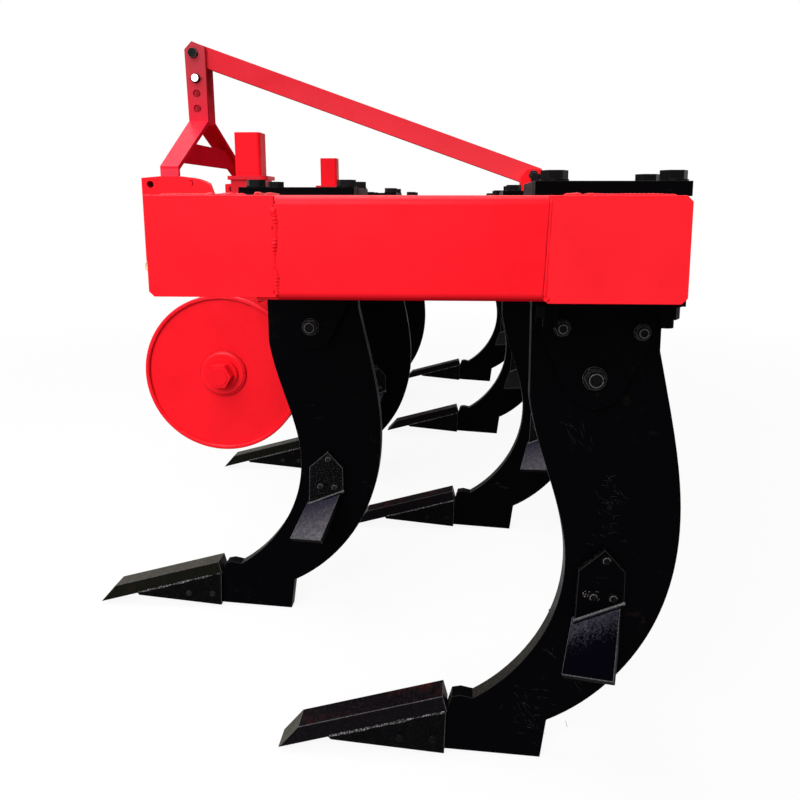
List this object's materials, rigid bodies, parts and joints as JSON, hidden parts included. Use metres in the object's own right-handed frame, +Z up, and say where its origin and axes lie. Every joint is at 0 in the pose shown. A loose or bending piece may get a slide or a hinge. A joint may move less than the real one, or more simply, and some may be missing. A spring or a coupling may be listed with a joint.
{
  "type": "subsoiler",
  "caption": "Mounted subsoiler: a welded box-section frame with a three-point mast, two staggered rows of curved tines with points and wings, and depth wheels on sliding legs.",
  "frame": {"origin": "centre of the machine's footprint on the ground, under the tines' heels", "axes": "+X to the machine's left along its working width, +Y to the rear, +Z up; the tractor is at -Y"},
  "size_m": [3.5, 1.3346, 1.53],
  "materials": {
    "frame_paint": "red semi-gloss enamel over weld beads",
    "tine_paint": "black enamel, scuffed",
    "point_paint": "black enamel with scratches",
    "bolt_steel": "black-painted bolts",
    "pin_steel": "zinc-plated steel"
  },
  "bodies": {
    "toolframe": {"brace": "frame_paint", "brace_bolt": "bolt_steel", "brace_lugs": "frame_paint", "clamp_base_front_1": "tine_paint", "clamp_base_front_2": "tine_paint", "clamp_base_front_3": "tine_paint", "clamp_base_rear_1": "tine_paint", "clamp_base_rear_2": "tine_paint", "clamp_base_rear_3": "tine_paint", "clamp_base_rear_4": "tine_paint", "clamp_bolts_front": "bolt_steel", "clamp_bolts_rear": "bolt_steel", "clamp_plates_front": "tine_paint", "clamp_plates_rear": "tine_paint", "end_plates": "frame_paint", "front_beam": "frame_paint", "headstock_rails": "frame_paint", "headstock_tube": "frame_paint", "hitch_plates_left": "frame_paint", "hitch_plates_right": "frame_paint", "inner_struts": "frame_paint", "mast_bar_left": "frame_paint", "mast_bar_right": "frame_paint", "mast_bolt": "bolt_steel", "mast_cross_plate": "frame_paint", "point_front_1": "point_paint", "point_front_2": "point_paint", "point_front_3": "point_paint", "point_rear_1": "point_paint", "point_rear_2": "point_paint", "point_rear_3": "point_paint", "point_rear_4": "point_paint", "rear_beam": "frame_paint", "shank_front_1": "tine_paint", "shank_front_2": "tine_paint", "shank_front_3": "tine_paint", "shank_rear_1": "tine_paint", "shank_rear_2": "tine_paint", "shank_rear_3": "tine_paint", "shank_rear_4": "tine_paint", "side_beam_left": "frame_paint", "side_beam_right": "frame_paint", "tine_bolts_front": "bolt_steel", "tine_bolts_rear": "bolt_steel", "top_link_pin": "pin_steel", "wheel_sleeve_left": "frame_paint", "wheel_sleeve_right": "frame_paint", "wings_front": "tine_paint", "wings_rear": "tine_paint"},
    "depth_leg_left": {"wheel_leg_left": "frame_paint"},
    "depth_leg_right": {"wheel_leg_right": "frame_paint"},
    "depth_wheel_left": {"wheel_left": "frame_paint"},
    "depth_wheel_right": {"wheel_right": "frame_paint"}
  },
  "joints": [
    {"name": "leg_slide_left", "type": "slide", "parent": "toolframe", "child": "depth_leg_left", "axis": [0, 0, 1], "range_m": [-0.1, 0.03]},
    {"name": "wheel_spin_left", "type": "hinge", "parent": "depth_leg_left", "child": "depth_wheel_left", "pos_m": [0.905, -0.29132, 0.578], "axis": [1, 0, 0], "continuous": true},
    {"name": "leg_slide_right", "type": "slide", "parent": "toolframe", "child": "depth_leg_right", "axis": [0, 0, 1], "range_m": [-0.1, 0.03]},
    {"name": "wheel_spin_right", "type": "hinge", "parent": "depth_leg_right", "child": "depth_wheel_right", "pos_m": [-0.905, -0.29132, 0.578], "axis": [1, 0, 0], "continuous": true}
  ]
}
